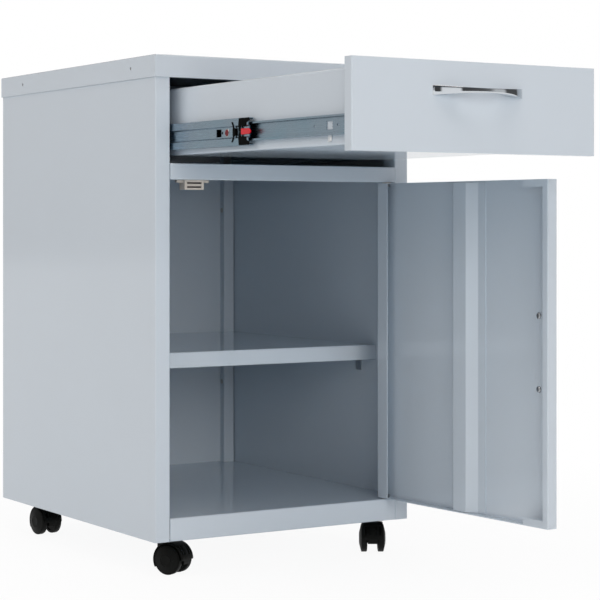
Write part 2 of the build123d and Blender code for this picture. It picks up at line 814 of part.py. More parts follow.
# Drawer tray: bottom and sides in one sheet, hemmed along the top, with a welded front wall
tray_front = drawer_face + front_thickness
tray_bottom = front_bottom + tray_lift
tray_half = slide_face - slide_width
with BuildPart() as drawer_tray:
    tray_corners = [
        (-tray_half + tray_hem, tray_bottom + tray_height),
        (-tray_half, tray_bottom + tray_height),
        (-tray_half, tray_bottom),
        (tray_half, tray_bottom),
        (tray_half, tray_bottom + tray_height),
        (tray_half - tray_hem, tray_bottom + tray_height),
    ]
    tray_end = Plane.XZ.offset(-(tray_front + tray_length))
    extrude(folded(tray_end, tray_corners, side=Side.LEFT, radius=tray_bend), amount=tray_length)
    with BuildSketch(Plane.XZ.offset(-(tray_front + sheet))):
        with Locations((0, tray_bottom + sheet)):
            Rectangle(2 * (tray_half - sheet), tray_height - 2 * sheet, align=(Align.CENTER, Align.MIN))
    extrude(amount=sheet)
finish("drawer_tray", drawer_tray.part)

with BuildPart() as drawer_back:
    back_face = tray_front + tray_length - seam
    back_path = [
        (back_face - drawer_back_return, tray_bottom + sheet),
        (back_face, tray_bottom + sheet),
        (back_face, tray_bottom + tray_height - sheet),
        (back_face - drawer_back_return, tray_bottom + tray_height - sheet),
    ]
    back_half = tray_half - tray_bend
    extrude(creased(Plane.YZ.offset(-back_half), back_path, side=Side.LEFT), amount=2 * back_half)
finish("drawer_back", drawer_back.part)

# Door: everything below is drawn in the door's own plane, turned open about the pivot
opened = radians(door_angle)
door_bottom = floor_top + reveal
door_height = rail_bottom - floor_top - 2 * reveal
door_right = pivot_inset
door_left = pivot_inset - 2 * front_half
door_skin = -pivot_depth
door_inside = front_thickness - pivot_depth
door_frame = Plane((pivot_x, pivot_y, door_bottom), x_dir=(cos(opened), sin(opened), 0), z_dir=(0, 0, 1))


def on_door(x, y, z):
    """Point of the door, from its pivot at the foot, in the cabinet frame."""
    return door_frame.from_local_coords((x, y, z))


door_out = -door_frame.y_dir
door_handle_plane = Plane(
    on_door(door_left + door_handle_inset, door_skin, door_height / 2),
    x_dir=(0, 0, 1), z_dir=door_frame.x_dir)
with BuildPart() as door_panel:
    add(folded_front(door_frame, door_left, door_right, door_skin, door_inside, door_height,
                     (hinge_lip, free_lip)))
    tab_start = door_left + free_lip - bend
    for level in (0, door_height - corner_tab_height):
        with BuildSketch(door_frame.offset(level)):
            with Locations((tab_start, door_inside - sheet)):
                Rectangle(corner_tab_length, sheet, align=(Align.MIN, Align.MIN))
        extrude(amount=corner_tab_height)
    with BuildSketch(door_frame):
        socket(pin_radius)
    extrude(amount=door_height, mode=Mode.SUBTRACT)
    with BuildSketch(Plane(door_handle_plane.origin, x_dir=(0, 0, 1), z_dir=door_out)):
        with Locations((-handle_pitch / 2, 0), (handle_pitch / 2, 0)):
            RegularPolygon(handle_screw_radius + seam / 2, shank_sides)
    extrude(amount=-sheet, mode=Mode.SUBTRACT)
finish("door_panel", door_panel.part)
finish("door_handle", bow_handle(door_handle_plane))
finish("door_handle_screws", handle_screws(door_handle_plane))

# Hat-section stiffener up the middle of the door
with BuildPart() as door_stiffener:
    middle = (door_left + door_right) / 2
    seat = door_skin + sheet
    crest = seat + stiffener_height
    crest_half = stiffener_crest / 2
    foot_half = crest_half + stiffener_slope
    hat = [
        (middle - foot_half - stiffener_flange, seat + sheet),
        (middle - foot_half, seat + sheet),
        (middle - crest_half, crest),
        (middle + crest_half, crest),
        (middle + foot_half, seat + sheet),
        (middle + foot_half + stiffener_flange, seat + sheet),
    ]
    hat_length = door_height - 2 * (sheet + seam)
    extrude(folded(door_frame.offset(sheet + seam), hat, side=Side.RIGHT), amount=hat_length)
finish("door_stiffener", door_stiffener.part)

# Pivot pins: each runs from its head inside the door, through the flange, into its bush
with BuildPart() as door_pivot_pins:
    for flange_inside, outward in ((sheet, -1), (door_height - sheet, 1)):
        with BuildSketch(door_frame.offset(flange_inside)):
            Circle(pin_radius)
        extrude(amount=outward * (sheet + pin_engagement))
        with BuildSketch(door_frame.offset(flange_inside)):
            RegularPolygon(pin_head, head_sides)
        extrude(amount=-outward * pin_head_height)
finish("door_pivot_pins", door_pivot_pins.part)
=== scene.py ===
import math

import bmesh
import bpy
from mathutils import Matrix, Vector


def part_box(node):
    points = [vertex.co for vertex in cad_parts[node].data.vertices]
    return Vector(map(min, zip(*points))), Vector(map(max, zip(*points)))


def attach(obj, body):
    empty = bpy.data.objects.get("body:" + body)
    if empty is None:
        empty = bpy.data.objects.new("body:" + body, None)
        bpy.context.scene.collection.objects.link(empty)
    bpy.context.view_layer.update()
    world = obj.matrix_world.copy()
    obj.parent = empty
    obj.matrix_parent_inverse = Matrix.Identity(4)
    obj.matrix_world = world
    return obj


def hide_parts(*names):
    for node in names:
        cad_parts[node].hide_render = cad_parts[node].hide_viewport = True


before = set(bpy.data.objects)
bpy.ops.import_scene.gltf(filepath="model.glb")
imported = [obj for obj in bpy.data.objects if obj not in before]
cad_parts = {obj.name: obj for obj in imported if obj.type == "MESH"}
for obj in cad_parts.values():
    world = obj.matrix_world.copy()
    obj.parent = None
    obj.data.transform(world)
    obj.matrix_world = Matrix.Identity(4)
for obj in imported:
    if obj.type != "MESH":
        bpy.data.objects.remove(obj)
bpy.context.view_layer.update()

# Blender's lengths are metres. Sizes below are millimetres times MM, apart from those of the room.
MM = 0.001
UP = Vector((0, 0, 1))


def linear(hex_colour):
    """An sRGB hex colour as linear red, green, blue and alpha."""
    parts = [int(hex_colour[at:at + 2], 16) / 255 for at in (1, 3, 5)]
    return tuple(p / 12.92 if p <= 0.04045 else ((p + 0.055) / 1.055) ** 2.4 for p in parts) + (1.0,)


def add_node(tree, kind, inputs=None, **settings):
    """Add one node; each input is a plain value or another node's output socket."""
    node = tree.nodes.new(kind)
    for name, value in settings.items():
        setattr(node, name, value)
    for key, value in (inputs or {}).items():
        if isinstance(value, bpy.types.NodeSocket):
            tree.links.new(value, node.inputs[key])
        else:
            node.inputs[key].default_value = value
    return node


def blank_material(name):
    """A material with an empty node tree."""
    material = bpy.data.materials.new(name)
    material.use_nodes = True
    material.node_tree.nodes.clear()
    return material, material.node_tree


def per_mm(size):
    """Pattern scale, in a mesh measured in metres, for lumps this many millimetres across."""
    return 1 / (size * MM)


def shaded(hex_colour, share):
    """A hex colour darkened to a share of its light."""
    return tuple(c * share for c in linear(hex_colour)[:3]) + (1.0,)


def powder_coat(name, hex_colour, roughness=0.09, peel=0.1):
    """Baked polyester powder on steel sheet: glossy, with the faint orange peel of the melted powder."""
    material, tree = blank_material(name)
    where = add_node(tree, "ShaderNodeTexCoord").outputs["Object"]
    # the film's thickness drifts over a hand's width, 180 mm, and shifts the shade a little
    drift = add_node(tree, "ShaderNodeTexNoise", {"Vector": where, "Scale": per_mm(180), "Detail": 2.0})
    shade = add_node(tree, "ShaderNodeMixRGB", {
        "Fac": drift.outputs["Fac"], "Color1": shaded(hex_colour, 0.97), "Color2": linear(hex_colour)})
    # real orange peel is near 1.5 mm a lump; drawn at 3 mm so that it shows
    lumps = add_node(tree, "ShaderNodeTexNoise", {"Vector": where, "Scale": per_mm(3), "Detail": 1.0})
    skin = add_node(tree, "ShaderNodeBump", {
        "Height": lumps.outputs["Fac"], "Strength": peel, "Distance": 0.06 * MM})
    gloss = add_node(tree, "ShaderNodeMapRange", {
        "Value": drift.outputs["Fac"], "To Min": roughness * 0.85, "To Max": roughness * 1.15})
    shader = add_node(tree, "ShaderNodeBsdfPrincipled", {
        "Base Color": shade.outputs["Color"], "Roughness": gloss.outputs["Result"], "IOR": 1.5,
        "Normal": skin.outputs["Normal"]})
    add_node(tree, "ShaderNodeOutputMaterial", {"Surface": shader.outputs["BSDF"]})
    return material


def rolled_zinc(name, cool_hex, warm_hex, roughness):
    """Cold-rolled steel strip, bright zinc plated: cool, faintly streaked along the rolling direction."""
    material, tree = blank_material(name)
    where = add_node(tree, "ShaderNodeTexCoord").outputs["Object"]
    # the plating's passivation turns from cool to warm in patches about 70 mm long
    tint = add_node(tree, "ShaderNodeTexNoise", {"Vector": where, "Scale": per_mm(70), "Detail": 1.5})
    colour = add_node(tree, "ShaderNodeMixRGB", {
        "Fac": tint.outputs["Fac"], "Color1": linear(cool_hex), "Color2": linear(warm_hex)})
    # rolling lines are finer than 0.1 mm; drawn 0.8 mm apart and 60 mm long so that they show
    along = add_node(tree, "ShaderNodeMapping", {
        "Vector": where, "Scale": (per_mm(0.8), per_mm(60), per_mm(0.8))})
    streaks = add_node(tree, "ShaderNodeTexNoise", {
        "Vector": along.outputs["Vector"], "Scale": 1.0, "Detail": 2.0})
    sheen = add_node(tree, "ShaderNodeMapRange", {
        "Value": streaks.outputs["Fac"], "To Min": roughness * 0.8, "To Max": roughness * 1.25})
    lines = add_node(tree, "ShaderNodeBump", {
        "Height": streaks.outputs["Fac"], "Strength": 0.15, "Distance": 0.02 * MM})
    shader = add_node(tree, "ShaderNodeBsdfPrincipled", {
        "Base Color": colour.outputs["Color"], "Metallic": 1.0, "Roughness": sheen.outputs["Result"],
        "Normal": lines.outputs["Normal"]})
    add_node(tree, "ShaderNodeOutputMaterial", {"Surface": shader.outputs["BSDF"]})
    return material


def plated_steel(name, hex_colour, roughness, grain_mm):
    """Turned or stamped steel with a plated skin: small even grain that breaks up the reflection."""
    material, tree = blank_material(name)
    where = add_node(tree, "ShaderNodeTexCoord").outputs["Object"]
    grain = add_node(tree, "ShaderNodeTexNoise", {"Vector": where, "Scale": per_mm(grain_mm), "Detail": 2.0})
    colour = add_node(tree, "ShaderNodeMixRGB", {
        "Fac": grain.outputs["Fac"], "Color1": shaded(hex_colour, 0.9), "Color2": linear(hex_colour)})
    sheen = add_node(tree, "ShaderNodeMapRange", {
        "Value": grain.outputs["Fac"], "To Min": roughness * 0.8, "To Max": roughness * 1.2})
    skin = add_node(tree, "ShaderNodeBump", {
        "Height": grain.outputs["Fac"], "Strength": 0.08, "Distance": 0.02 * MM})
    shader = add_node(tree, "ShaderNodeBsdfPrincipled", {
        "Base Color": colour.outputs["Color"], "Metallic": 1.0, "Roughness": sheen.outputs["Result"],
        "Normal": skin.outputs["Normal"]})
    add_node(tree, "ShaderNodeOutputMaterial", {"Surface": shader.outputs["BSDF"]})
    return material


def moulded_plastic(name, hex_colour, roughness, ior, grain_mm, depth_mm, shine=0.5):
    """Injection-moulded plastic: the tool's fine texture in its skin and a slight change of gloss."""
    material, tree = blank_material(name)
    where = add_node(tree, "ShaderNodeTexCoord").outputs["Object"]
    grain = add_node(tree, "ShaderNodeTexNoise", {"Vector": where, "Scale": per_mm(grain_mm), "Detail": 3.0})
    colour = add_node(tree, "ShaderNodeMixRGB", {
        "Fac": grain.outputs["Fac"], "Color1": shaded(hex_colour, 0.85), "Color2": linear(hex_colour)})
    sheen = add_node(tree, "ShaderNodeMapRange", {
        "Value": grain.outputs["Fac"], "To Min": roughness * 0.85, "To Max": roughness * 1.15})
    skin = add_node(tree, "ShaderNodeBump", {
        "Height": grain.outputs["Fac"], "Strength": 0.25, "Distance": depth_mm * MM})
    shader = add_node(tree, "ShaderNodeBsdfPrincipled", {
        "Base Color": colour.outputs["Color"], "Roughness": sheen.outputs["Result"], "IOR": ior,
        "Specular IOR Level": shine, "Normal": skin.outputs["Normal"]})
    add_node(tree, "ShaderNodeOutputMaterial", {"Surface": shader.outputs["BSDF"]})
    return material


CORNERS = ("front_left", "front_right", "rear_left", "rear_right")
HANDS = {"left": -1, "right": 1}

# Baked powder flows to a glossy skin that mirrors softly. Galvanised sheet is greyer and dull, and the bright
# zinc of the slides has a bluish passivation that looks cool and wet.
casing_coat = powder_coat("light_grey_powder_coat", "#C0D0DD")
zinc_sheet = rolled_zinc("galvanised_sheet", "#AEB6BC", "#BDBFC0", 0.35)
slide_zinc = rolled_zinc("bright_zinc_strip", "#7B9CAB", "#9AA0AA", 0.27)
# Polished chrome mirrors the room sharply. Barrel-plated zinc on the small hardware blurs it, ground balls
# blur it less, and the pole plates' iron is bare and dark.
bow_chrome = plated_steel("polished_chrome_plate", "#D0D5DA", 0.06, 8.0)
screw_zinc = plated_steel("zinc_plated_screw", "#A8ABAE", 0.3, 1.5)
stem_zinc = plated_steel("zinc_plated_stem", "#B4B6B8", 0.3, 1.5)
bearing_steel = plated_steel("ground_ball_steel", "#B8BABC", 0.15, 2.0)
pole_iron = plated_steel("bare_pole_iron", "#5E5A56", 0.4, 1.0)
# The rivet's thin copper shows dark red, and the clip's clear zinc is almost white.
rivet_copper = plated_steel("coppered_rivet", "#7E343A", 0.3, 1.0)
bright_zinc = plated_steel("bright_zinc_clip", "#E4E6E8", 0.35, 1.5)
# Moulded from undyed resin, ABS is a warm white with a satin skin, and acetal is a little milkier.
catch_abs = moulded_plastic("white_abs_moulding", "#D6D2CA", 0.35, 1.53, 1.0, 0.02)
bush_acetal = moulded_plastic("natural_acetal_bush", "#D8D6CE", 0.4, 1.48, 1.0, 0.02)
# Glass in the nylon leaves the castors' skin dull, and the stop's carbon-black acetal is duller still.
castor_nylon = moulded_plastic("black_glass_filled_nylon", "#0B0D0C", 0.5, 1.53, 0.9, 0.05, shine=0.1)
tread_nylon = moulded_plastic("black_nylon_tread", "#0A0C0B", 0.5, 1.53, 0.8, 0.04, shine=0.1)
slide_acetal = moulded_plastic("black_acetal_stop", "#080909", 0.5, 1.48, 0.8, 0.02, shine=0.02)
# Polypropylene keeps more of the tool's polish and takes a bright red.
buffer_red = moulded_plastic("red_polypropylene_buffer", "#CE0A22", 0.35, 1.49, 0.8, 0.02)

# Every CAD node has its finish, also where a rounder piece stands for it below
FINISHES = {
    casing_coat: ("side_panel_left", "side_panel_right", "top_cap", "back_panel", "bottom_panel",
                  "divider_panel", "shelf", "drawer_front", "drawer_tray", "drawer_back", "door_panel",
                  "door_stiffener"),
    zinc_sheet: ("castor_rail_front", "castor_rail_rear", "shelf_clips", "slide_bracket_left",
                 "slide_bracket_right"),
    slide_zinc: tuple(f"slide_{member}_member_{hand}" for member in ("cabinet", "middle", "drawer")
                      for hand in HANDS),
    screw_zinc: ("cap_screws", "back_screws", "castor_nuts", "drawer_handle_screws", "door_handle_screws",
                 "door_pivot_pins"),
    bow_chrome: ("drawer_handle", "door_handle"),
    catch_abs: ("magnetic_catch",),
    pole_iron: ("catch_poles",),
    bush_acetal: ("pivot_bushes",),
    castor_nylon: tuple(f"castor_hood_{corner}" for corner in CORNERS),
    tread_nylon: tuple(f"castor_wheels_{corner}" for corner in CORNERS),
    stem_zinc: ("castor_stems",) + tuple(f"castor_axle_{corner}" for corner in CORNERS),
    slide_acetal: tuple(f"slide_{piece}_{hand}" for piece in ("stop", "latch") for hand in HANDS),
    buffer_red: tuple(f"slide_buffer_{hand}" for hand in HANDS),
    bearing_steel: tuple(f"slide_{stage}_balls_{hand}" for stage in ("outer", "inner") for hand in HANDS),
}
for finish, nodes in FINISHES.items():
    for node_name in nodes:
        mesh = bpy.data.objects[node_name].data
        mesh.materials.clear()
        mesh.materials.append(finish)


# Degrees from which an edge stays crisp in the shading
SHARP = 30


def piece_from(name, mesh, finish, body, sharp=SHARP):
    """A named piece of the object: smooth between its sharp edges, in one finish, riding on a body."""
    data = bpy.data.meshes.new(name)
    mesh.normal_update()
    mesh.to_mesh(data)
    mesh.free()
    data.shade_smooth()
    data.set_sharp_from_angle(angle=math.radians(sharp))
    data.materials.append(finish)
    piece = bpy.data.objects.new(name, data)
    bpy.context.collection.objects.link(piece)
    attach(piece, body)
    return piece


def seat_at(origin, along):
    """Matrix whose z runs along a level direction, with its x level too."""
    z = Vector(along).normalized()
    x = UP.cross(z).normalized()
    return Matrix.Translation(origin) @ Matrix((x, z.cross(x), z)).transposed().to_4x4()


def turn_profile(mesh, profile, seat, sides):
    """Turn a profile of (radius, along) in millimetres round the seat's z; a zero radius closes an end."""
    rings = []
    for radius, along in profile:
        if radius == 0:
            rings.append([mesh.verts.new(seat @ Vector((0, 0, along * MM)))])
            continue
        angles = [math.tau * k / sides for k in range(sides)]
        rings.append([mesh.verts.new(seat @ Vector((
            radius * MM * math.cos(angle), radius * MM * math.sin(angle), along * MM))) for angle in angles])
    for low, high in zip(rings, rings[1:]):
        for k in range(sides):
            after = k + 1
            corners = [low[k % len(low)], low[after % len(low)], high[after % len(high)], high[k % len(high)]]
            # an end of the profile is one point, so its faces have three corners
            corners = list(dict.fromkeys(corners))
            if len(corners) > 2:
                mesh.faces.new(corners)


def middle(node):
    """Middle of a CAD node's box."""
    low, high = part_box(node)
    return (Vector(low) + Vector(high)) / 2


def thicken(piece, wall, offset):
    """Give a one-sided sheet its wall, in millimetres: offset -1 puts it all behind, 0 half to each side."""
    sheet = piece.modifiers.new("wall", "SOLIDIFY")
    sheet.thickness = wall * MM
    sheet.offset = offset


def round_edges(piece, radius, segments, sharper_than=SHARP):
    """Round a piece's edges that are sharper than some degrees, by a radius in millimetres."""
    rounding = piece.modifiers.new("rounded_edges", "BEVEL")
    rounding.width = radius * MM
    rounding.segments = segments
    rounding.limit_method = "ANGLE"
    rounding.angle_limit = math.radians(sharper_than)


# Wheel pair: half of it as a profile of (radius, along the axle), with the axle's bore, the hollow behind the
# tread, the tread's rounded edges, and a shallow hub cap inside a groove
WHEEL_RADIUS = 20
WHEEL_PROFILE = (
    (0, 17.9), (2.62, 17.9), (2.62, 7.8), (5.2, 7.8), (5.4, 9.4), (15.6, 9.4), (16.2, 7.9), (18.4, 7.8),
    (19.5, 8.2), (19.95, 9.1), (19.95, 15.2), (19.6, 15.9), (19.0, 16.2), (18.6, 15.9), (18.2, 16.0),
    (17.9, 16.5), (14.0, 17.5), (10.0, 18.5), (8.6, 18.8), (8.1, 18.4), (7.6, 18.45), (7.3, 18.85),
    (4.0, 18.7), (0, 18.6))

# Hood's fender: its columns across the wheels, how far the outer ones are set in to round its rim, and two
# slots on each side in the upper part of the face that trails the stem
FENDER_RADIUS = 23.5
FENDER_WALL = 2.2
FENDER_COLUMNS = (-15.0, -14.2, -11.4, -9.2, -6.4, -4.2, 4.2, 6.4, 9.2, 11.4, 14.2, 15.0)
RIM_DROPS = {15.0: 0.9, 14.2: 0.25}
FENDER_STEPS = 36
FENDER_ARC = 208
SLOT_COLUMNS = (2, 4, 6, 8)
SLOT_STEPS = range(3, 9)

# Hood's web between the wheels, cut off level below the axle, and the boss behind it that turns on the stem
WEB_RADIUS = 22.2
WEB_HALF_WIDTH = 7.1
WEB_FOOT = -6.3
WEB_ARC = range(-15, 200, 5)
STEM_BEHIND = 17
BOSS_PROFILE = ((0, 25.6), (4.15, 25.6), (4.15, 45.6), (6.8, 45.6), (7.2, 45.2), (7.2, 13.6), (0, 13.6))

# How far each castor is swivelled in the photograph, in degrees from straight ahead
SWIVELS = {"front_left": 29.0, "front_right": -31.0, "rear_left": 7.0, "rear_right": 24.0}


def wheel_pair(corner, hub, axle):
    """Both wheels of a castor, back to back on their axle."""
    pair = bmesh.new()
    for way in (1, -1):
        turn_profile(pair, WHEEL_PROFILE, seat_at(hub, axle * way), sides=72)
    bmesh.ops.recalc_face_normals(pair, faces=pair.faces)
    wheels = piece_from(f"wheel_pair_{corner}", pair, tread_nylon, f"wheels_{corner}")
    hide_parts(f"castor_wheels_{corner}")


def hood_fender(corner, hub, axle, back):
    """A bent strip over the wheels, from its trailing lip round the top to the lip behind the stem."""
    hood = bmesh.new()
    rows = []
    for step in range(FENDER_STEPS):
        around = math.radians(180 - step * FENDER_ARC / (FENDER_STEPS - 1))
        row = []
        for across in FENDER_COLUMNS:
            radius = FENDER_RADIUS - RIM_DROPS.get(abs(across), 0)
            row.append(hood.verts.new(
                hub + axle * across * MM + back * radius * MM * math.cos(around)
                + UP * (radius * MM * math.sin(around))))
        rows.append(row)
    for step, (one, two) in enumerate(zip(rows, rows[1:])):
        for column in range(len(FENDER_COLUMNS) - 1):
            if step in SLOT_STEPS and column in SLOT_COLUMNS:
                continue
            hood.faces.new((one[column], one[column + 1], two[column + 1], two[column]))
    bmesh.ops.recalc_face_normals(hood, faces=hood.faces)
    if hood.faces[0].normal.dot(hood.faces[0].calc_center_median() - hub) < 0:
        bmesh.ops.reverse_faces(hood, faces=hood.faces)
    fender = piece_from(f"hood_fender_{corner}", hood, castor_nylon, f"castor_{corner}", sharp=40)
    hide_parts(f"castor_hood_{corner}")
    thicken(fender, FENDER_WALL, offset=-1)
    round_edges(fender, radius=0.35, segments=2, sharper_than=50)


def hood_web(corner, hub, axle, back):
    """The hood's solid core: the web that carries the axle, with the boss for the stem."""
    core = bmesh.new()
    rim = [(WEB_RADIUS * math.cos(math.radians(degrees)), WEB_RADIUS * math.sin(math.radians(degrees)))
           for degrees in WEB_ARC]
    cheeks = [[core.verts.new(hub + axle * across * MM + back * out * MM + UP * (max(up, WEB_FOOT) * MM))
               for out, up in rim] for across in (-WEB_HALF_WIDTH, WEB_HALF_WIDTH)]
    core.faces.new(cheeks[0])
    core.faces.new(list(reversed(cheeks[1])))
    for k in range(len(rim)):
        after = (k + 1) % len(rim)
        core.faces.new((cheeks[0][k], cheeks[1][k], cheeks[1][after], cheeks[0][after]))
    stem_foot = hub + back * STEM_BEHIND * MM
    stem_foot.z = 0
    turn_profile(core, BOSS_PROFILE, Matrix.Translation(stem_foot), sides=36)
    bmesh.ops.recalc_face_normals(core, faces=core.faces)
    piece_from(f"hood_web_{corner}", core, castor_nylon, f"castor_{corner}")


for corner in CORNERS:
    swivel = math.radians(SWIVELS[corner])
    axle = Vector((math.cos(swivel), math.sin(swivel), 0))
    back = Vector((-axle.y, axle.x, 0))
    hub = middle(f"castor_wheels_{corner}")
    hub.z = WHEEL_RADIUS * MM
    wheel_pair(corner, hub, axle)
    hood_fender(corner, hub, axle, back)
    hood_web(corner, hub, axle, back)


# Cross recess: its outline as shares of the head's radius, and its floor as a share of the head's height
CROSS = ((0.55, 0.14), (0.14, 0.14), (0.14, 0.55), (-0.14, 0.55), (-0.14, 0.14), (-0.55, 0.14),
         (-0.55, -0.14), (-0.14, -0.14), (-0.14, -0.55), (0.14, -0.55), (0.14, -0.14), (0.55, -0.14))
CROSS_FLOOR = 0.55
# Pan head's rounded side, as shares of its radius and height
PAN_HEAD = ((1, 0), (1, 0.35), (0.95, 0.62), (0.8, 0.84), (0.55, 0.96), (0, 1))

# Screws by the radius and height of the head, and the radius and length of the shank
HANDLE_SCREW = (4.2, 2.2, 2.0, 7.9)
FLANGE_SCREW = (3.8, 1.6, 2.0, 1.2)
LIP_SCREW = (2.15, 0.45, 1.5, 8.0)


def cut_away(piece, cutter_mesh):
    """Cut a second closed mesh out of a piece for good."""
    data = bpy.data.meshes.new("cutter")
    cutter_mesh.to_mesh(data)
    cutter_mesh.free()
    cutter = bpy.data.objects.new("cutter", data)
    bpy.context.collection.objects.link(cutter)
    cut = piece.modifiers.new("recess", "BOOLEAN")
    cut.object = cutter
    cut.solver = "EXACT"
    bpy.context.view_layer.update()
    done = bpy.data.meshes.new_from_object(piece.evaluated_get(bpy.context.evaluated_depsgraph_get()))
    piece.modifiers.remove(cut)
    piece.data = done
    piece.data.set_sharp_from_angle(angle=math.radians(SHARP))
    bpy.data.objects.remove(cutter)


def cross_screws(name, node, body, screw, seats):
    """Cross-recess pan-head screws in place of a CAD node: each seat is a point and an outward direction."""
    head, height, shank, length = screw
    profile = [(0, -length), (shank, -length), (shank, 0)]
    profile += [(radius * head, up * height) for radius, up in PAN_HEAD]
    heads = bmesh.new()
    crosses = bmesh.new()
    for place, out in seats:
        seat = seat_at(place, out)
        turn_profile(heads, profile, seat, sides=32)
        # the cutter stands half a millimetre out of the head
        bed, mouth = [
            [crosses.verts.new(seat @ (Vector((x * head, y * head, level)) * MM)) for x, y in CROSS]
            for level in (CROSS_FLOOR * height, height + 0.5)]
        crosses.faces.new(bed)
        crosses.faces.new(mouth)
        for k in range(len(CROSS)):
            after = (k + 1) % len(CROSS)
            crosses.faces.new((bed[k], bed[after], mouth[after], mouth[k]))
    bmesh.ops.recalc_face_normals(crosses, faces=crosses.faces)
    bmesh.ops.recalc_face_normals(heads, faces=heads.faces)
    piece = piece_from(name, heads, screw_zinc, body)
    cut_away(piece, crosses)
    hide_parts(node)


# Handle screws, 96 mm apart, on the inner faces of the skins that they go through
HALF_PITCH = 48
DRAWER_SKIN = -690.8
drawer_screw_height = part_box("drawer_handle_screws")[0].z + HANDLE_SCREW[0] * MM

# The door is open, so its directions turn with it. Its screws are placed from the foot of its pivot line:
# across the door, out to its skin, and up to the handle's middle.
DOOR_TURN = math.radians(92.8)
PIVOT_FOOT = Vector((172.5, -249.0, 80.5)) * MM
DOOR_HANDLE_ACROSS, DOOR_SKIN, DOOR_HANDLE_UP = -321, -4.8, 225.5
door_across = Vector((math.cos(DOOR_TURN), math.sin(DOOR_TURN), 0))
door_inward = Vector((-math.sin(DOOR_TURN), math.cos(DOOR_TURN), 0))
door_screw_line = PIVOT_FOOT + door_across * DOOR_HANDLE_ACROSS * MM + door_inward * DOOR_SKIN * MM

cross_screws("door_handle_screw_heads", "door_handle_screws", "door", HANDLE_SCREW,
             [(door_screw_line + UP * ((DOOR_HANDLE_UP + up) * MM), door_inward)
              for up in (-HALF_PITCH, HALF_PITCH)])
cross_screws("drawer_handle_screw_heads", "drawer_handle_screws", "drawer", HANDLE_SCREW,
             [(Vector((across * MM, DRAWER_SKIN * MM, drawer_screw_height)), (0, 1, 0))
              for across in (-HALF_PITCH, HALF_PITCH)])

# Back panel's screws, two a side in the flanges on the rear posts
FLANGE_ACROSS, FLANGE_DEPTH, FLANGE_HEIGHTS = 183.8, 248.5, (212, 496)
cross_screws("back_flange_screws", "back_screws", "casing", FLANGE_SCREW,
             [(Vector((side * FLANGE_ACROSS, FLANGE_DEPTH, up)) * MM, (-side, 0, 0))
              for side in (-1, 1) for up in FLANGE_HEIGHTS])

# Cap's screws, two a side, almost flush in its lips
LIP_ACROSS, LIP_DEPTHS, LIP_HEIGHT = 206.0, (-185, 175), 685
cross_screws("cap_lip_screws", "cap_screws", "casing", LIP_SCREW,
             [(Vector((side * LIP_ACROSS, depth, LIP_HEIGHT)) * MM, (side, 0, 0))
              for side in (-1, 1) for depth in LIP_DEPTHS])


# Ball cages: the raceway's radius for each stage, then as shares of it a ball's radius, a strip's width, and
# how far a row lies in from the cage's end, and last the balls in a row, their spacing and the strip's
# thickness
RACEWAY_RADII = {"outer": 1.9, "inner": 1.8}
BALL_SHARE = 0.74
STRIP_SHARE = 1.5
ROW_SHARE = 0.75
BALLS = 12
BALL_PITCH = 12
STRIP_GAUGE = 0.8


def ball_cage(stage, hand, radius):
    """Two pressed strips, one for each raceway of a slide's stage, with their rows of round balls."""
    cage = f"slide_{stage}_balls_{hand}"
    low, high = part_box(cage)
    rise = radius * ROW_SHARE * MM
    bends = [math.pi * k / 8 for k in range(1, 8)]
    half_circle = [(radius * math.sin(bend), -radius * math.cos(bend)) for bend in bends]
    half_circle = [(0, -radius), *half_circle, (0, radius)]
    strip = bmesh.new()
    balls = bmesh.new()
    for level in (low.z + rise, high.z - rise):
        centre = Vector(((low.x + high.x) / 2, (low.y + high.y) / 2, level))
        size = Matrix.Diagonal((radius * STRIP_SHARE * MM, high.y - low.y, STRIP_GAUGE * MM, 1))
        bmesh.ops.create_cube(strip, size=1, matrix=Matrix.Translation(centre) @ size)
        for k in range(BALLS):
            seat = centre + Vector((0, (k - (BALLS - 1) / 2) * BALL_PITCH * MM, 0))
            turn_profile(balls, half_circle, Matrix.Translation(seat) @ Matrix.Scale(BALL_SHARE, 4), sides=14)
    # round the strips' short edges and leave the long ones crisp
    short_edges = [edge for edge in strip.edges if edge.calc_length() < 10 * MM]
    bmesh.ops.bevel(strip, geom=short_edges, offset=0.2 * MM, segments=2, affect="EDGES")
    bmesh.ops.recalc_face_normals(balls, faces=balls.faces)
    pressed = piece_from(f"ball_strip_{stage}_{hand}", strip, slide_zinc, f"{stage}_balls_{hand}")
    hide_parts(cage)
    piece_from(f"ball_row_{stage}_{hand}", balls, bearing_steel, f"{stage}_balls_{hand}")


for hand in HANDS:
    for stage, radius in RACEWAY_RADII.items():
        ball_cage(stage, hand, radius)


# Slides' small parts: profiles of (radius, out) for the middle member's rivet and its washer, and the outline
# of the lock tab that hangs under the drawer member, as (along, up) from the middle of its upper edge
WASHER_PROFILE = ((0, 0), (5.6, 0), (5.6, 0.25), (5.3, 0.45), (4.4, 0.45), (4.2, 0.2), (0, 0.2))
RIVET_PROFILE = ((0, 0.2), (4.1, 0.2), (4.1, 0.7), (3.7, 1.0), (2.6, 1.0), (2.2, 0.6), (0, 0.5))
RIVET_PLACE = (179.0, -401.2, 589.7)
TAB_OUTLINE = ((-4, 0), (4, 0), (4, -7), (3, -8), (-3, -8), (-4, -7))
TAB_PLACE = (170.9, -630, 579.0)
TAB_LIP_PLACE = (173.0, 570.4)
TAB_LIP_HALF_WIDTH = 2.7
TAB_GAUGE = 0.7


